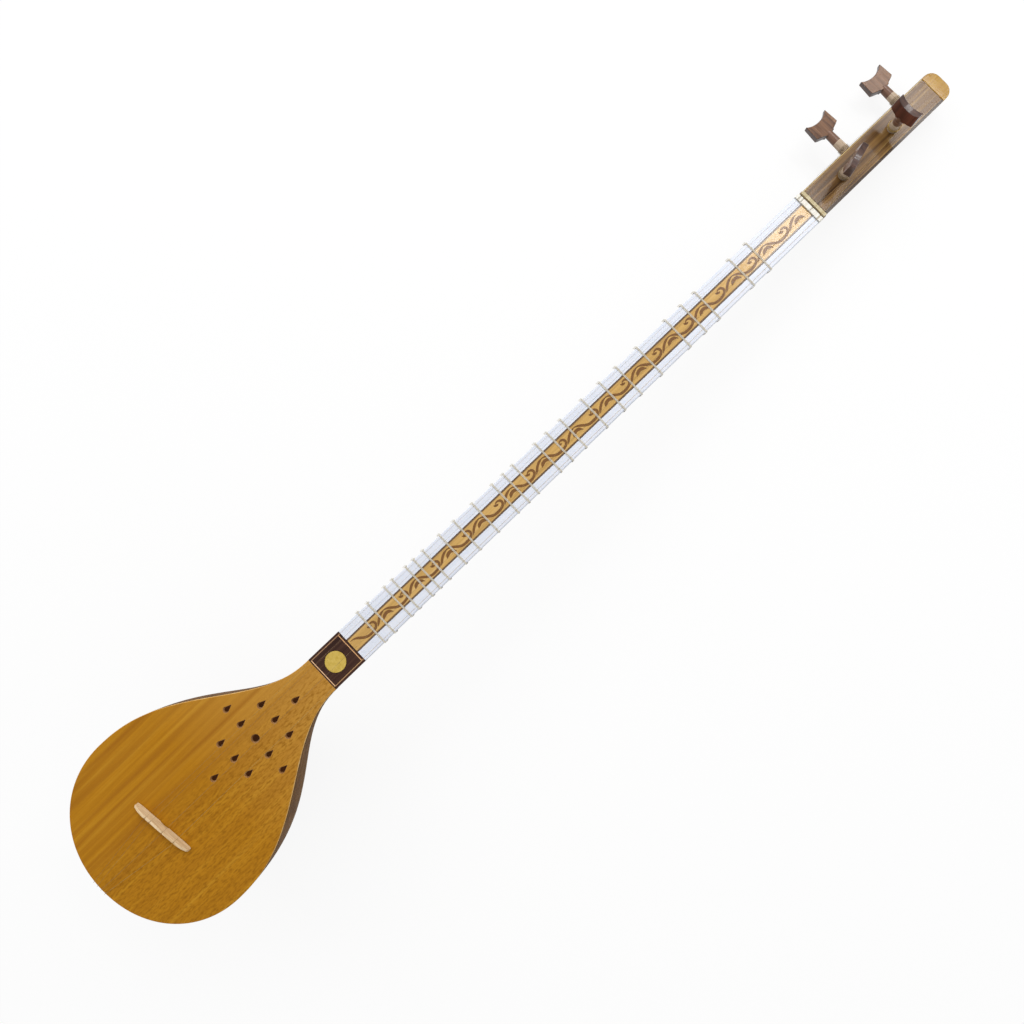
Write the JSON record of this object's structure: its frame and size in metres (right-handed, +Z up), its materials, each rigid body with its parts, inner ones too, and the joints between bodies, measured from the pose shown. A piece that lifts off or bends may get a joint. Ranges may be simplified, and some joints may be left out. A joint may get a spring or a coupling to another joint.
{
  "type": "setar",
  "caption": "Long-necked Persian lute with a pear-shaped ribbed bowl, wooden soundboard, tied gut frets that slide, fishtail tuning pegs that turn and a sliding bridge.",
  "frame": {"origin": "centre of the bounding box at the height of the surface the setar lies on", "axes": "+X towards the headstock, +Y towards the side pegs' heads, +Z up: the setar lies on its back on the bowl's keel and the headstock's end"},
  "size_m": [0.8552, 0.153, 0.1383],
  "materials": {
    "mulberry_face": "satin varnished golden-brown mulberry with straight darker grain",
    "bowl_wood": "satin varnished grey-brown mulberry staves",
    "inner_wood": "bare light wood",
    "walnut": "satin varnished walnut",
    "dark_plate": "polished dark rosewood",
    "golden_disc": "plain golden inlay, satin",
    "golden_strip": "golden wood with a burned traditional scroll, satin",
    "bone": "polished white bone",
    "cream_bone": "cream bone, satin",
    "yellow_cap": "polished yellow wood",
    "peg_wood": "dark polished peg heads on paler shanks",
    "bridge_wood": "bare pale wood",
    "gut": "translucent greenish-grey gut",
    "string_steel": "plain steel wire",
    "string_brass": "brass wire"
  },
  "bodies": {
    "instrument": {"soundboard": "mulberry_face", "rib_1": "bowl_wood", "rib_2": "bowl_wood", "rib_3": "bowl_wood", "rib_4": "bowl_wood", "rib_5": "bowl_wood", "rib_6": "bowl_wood", "rib_7": "bowl_wood", "tail_block": "inner_wood", "neck_block": "inner_wood", "soundboard_brace": "inner_wood", "tailpiece": "bone", "neck_shaft": "walnut", "fingerboard_strip": "golden_strip", "bone_strip_left": "bone", "bone_strip_right": "bone", "joint_plate": "dark_plate", "plate_disc": "golden_disc", "pegbox_end_strip": "cream_bone", "headstock": "walnut", "headstock_cap": "yellow_cap", "nut": "bone", "string_1": "string_steel", "string_2": "string_steel", "string_3": "string_steel", "string_4": "string_brass"},
    "bridge": {"bridge": "bridge_wood"},
    "peg_side_1": {"peg_side_1": "peg_wood", "string_winding_1": "string_steel"},
    "peg_side_2": {"peg_side_2": "peg_wood", "string_winding_2": "string_steel"},
    "peg_front_1": {"peg_front_1": "peg_wood", "string_winding_3": "string_steel"},
    "peg_front_2": {"peg_front_2": "peg_wood", "string_winding_4": "string_brass"},
    "fret_01": {"fret_01": "gut"},
    "fret_02": {"fret_02": "gut"},
    "fret_03": {"fret_03": "gut"},
    "fret_04": {"fret_04": "gut"},
    "fret_05": {"fret_05": "gut"},
    "fret_06": {"fret_06": "gut"},
    "fret_07": {"fret_07": "gut"},
    "fret_08": {"fret_08": "gut"},
    "fret_09": {"fret_09": "gut"},
    "fret_10": {"fret_10": "gut"},
    "fret_11": {"fret_11": "gut"},
    "fret_12": {"fret_12": "gut"},
    "fret_13": {"fret_13": "gut"},
    "fret_14": {"fret_14": "gut"},
    "fret_15": {"fret_15": "gut"},
    "fret_16": {"fret_16": "gut"},
    "fret_17": {"fret_17": "gut"},
    "fret_18": {"fret_18": "gut"},
    "fret_19": {"fret_19": "gut"},
    "fret_20": {"fret_20": "gut"},
    "fret_21": {"fret_21": "gut"},
    "fret_22": {"fret_22": "gut"},
    "fret_23": {"fret_23": "gut"},
    "fret_24": {"fret_24": "gut"},
    "fret_25": {"fret_25": "gut"}
  },
  "joints": [
    {"name": "bridge_slide", "type": "slide", "parent": "instrument", "child": "bridge", "axis": [0.9908, 0, -0.1356], "range_m": [-0.002, 0.002]},
    {"name": "peg_side_1_turn", "type": "hinge", "parent": "instrument", "child": "peg_side_1", "pos_m": [0.34559, 0.01194, 0.02052], "axis": [0, 1, 0], "continuous": true},
    {"name": "peg_side_2_turn", "type": "hinge", "parent": "instrument", "child": "peg_side_2", "pos_m": [0.3984, 0.01165, 0.01329], "axis": [0, 1, 0], "continuous": true},
    {"name": "peg_front_1_turn", "type": "hinge", "parent": "instrument", "child": "peg_front_1", "pos_m": [0.32693, 0, 0.03468], "axis": [0.1356, 0, 0.9908], "continuous": true},
    {"name": "peg_front_2_turn", "type": "hinge", "parent": "instrument", "child": "peg_front_2", "pos_m": [0.37634, 0, 0.02792], "axis": [0.1356, 0, 0.9908], "continuous": true},
    {"name": "fret_01_slide", "type": "slide", "parent": "instrument", "child": "fret_01", "axis": [0.9908, 0, -0.1356], "range_m": [-0.002, 0.002]},
    {"name": "fret_02_slide", "type": "slide", "parent": "instrument", "child": "fret_02", "axis": [0.9908, 0, -0.1356], "range_m": [-0.002, 0.002]},
    {"name": "fret_03_slide", "type": "slide", "parent": "instrument", "child": "fret_03", "axis": [0.9908, 0, -0.1356], "range_m": [-0.002, 0.002]},
    {"name": "fret_04_slide", "type": "slide", "parent": "instrument", "child": "fret_04", "axis": [0.9908, 0, -0.1356], "range_m": [-0.002, 0.002]},
    {"name": "fret_05_slide", "type": "slide", "parent": "instrument", "child": "fret_05", "axis": [0.9908, 0, -0.1356], "range_m": [-0.002, 0.002]},
    {"name": "fret_06_slide", "type": "slide", "parent": "instrument", "child": "fret_06", "axis": [0.9908, 0, -0.1356], "range_m": [-0.002, 0.002]},
    {"name": "fret_07_slide", "type": "slide", "parent": "instrument", "child": "fret_07", "axis": [0.9908, 0, -0.1356], "range_m": [-0.002, 0.002]},
    {"name": "fret_08_slide", "type": "slide", "parent": "instrument", "child": "fret_08", "axis": [0.9908, 0, -0.1356], "range_m": [-0.002, 0.002]},
    {"name": "fret_09_slide", "type": "slide", "parent": "instrument", "child": "fret_09", "axis": [0.9908, 0, -0.1356], "range_m": [-0.002, 0.002]},
    {"name": "fret_10_slide", "type": "slide", "parent": "instrument", "child": "fret_10", "axis": [0.9908, 0, -0.1356], "range_m": [-0.002, 0.002]},
    {"name": "fret_11_slide", "type": "slide", "parent": "instrument", "child": "fret_11", "axis": [0.9908, 0, -0.1356], "range_m": [-0.002, 0.002]},
    {"name": "fret_12_slide", "type": "slide", "parent": "instrument", "child": "fret_12", "axis": [0.9908, 0, -0.1356], "range_m": [-0.002, 0.002]},
    {"name": "fret_13_slide", "type": "slide", "parent": "instrument", "child": "fret_13", "axis": [0.9908, 0, -0.1356], "range_m": [-0.002, 0.002]},
    {"name": "fret_14_slide", "type": "slide", "parent": "instrument", "child": "fret_14", "axis": [0.9908, 0, -0.1356], "range_m": [-0.002, 0.002]},
    {"name": "fret_15_slide", "type": "slide", "parent": "instrument", "child": "fret_15", "axis": [0.9908, 0, -0.1356], "range_m": [-0.002, 0.002]},
    {"name": "fret_16_slide", "type": "slide", "parent": "instrument", "child": "fret_16", "axis": [0.9908, 0, -0.1356], "range_m": [-0.002, 0.002]},
    {"name": "fret_17_slide", "type": "slide", "parent": "instrument", "child": "fret_17", "axis": [0.9908, 0, -0.1356], "range_m": [-0.002, 0.002]},
    {"name": "fret_18_slide", "type": "slide", "parent": "instrument", "child": "fret_18", "axis": [0.9908, 0, -0.1356], "range_m": [-0.002, 0.002]},
    {"name": "fret_19_slide", "type": "slide", "parent": "instrument", "child": "fret_19", "axis": [0.9908, 0, -0.1356], "range_m": [-0.002, 0.002]},
    {"name": "fret_20_slide", "type": "slide", "parent": "instrument", "child": "fret_20", "axis": [0.9908, 0, -0.1356], "range_m": [-0.002, 0.002]},
    {"name": "fret_21_slide", "type": "slide", "parent": "instrument", "child": "fret_21", "axis": [0.9908, 0, -0.1356], "range_m": [-0.002, 0.002]},
    {"name": "fret_22_slide", "type": "slide", "parent": "instrument", "child": "fret_22", "axis": [0.9908, 0, -0.1356], "range_m": [-0.002, 0.002]},
    {"name": "fret_23_slide", "type": "slide", "parent": "instrument", "child": "fret_23", "axis": [0.9908, 0, -0.1356], "range_m": [-0.002, 0.002]},
    {"name": "fret_24_slide", "type": "slide", "parent": "instrument", "child": "fret_24", "axis": [0.9908, 0, -0.1356], "range_m": [-0.002, 0.002]},
    {"name": "fret_25_slide", "type": "slide", "parent": "instrument", "child": "fret_25", "axis": [0.9908, 0, -0.1356], "range_m": [-0.002, 0.002]}
  ]
}
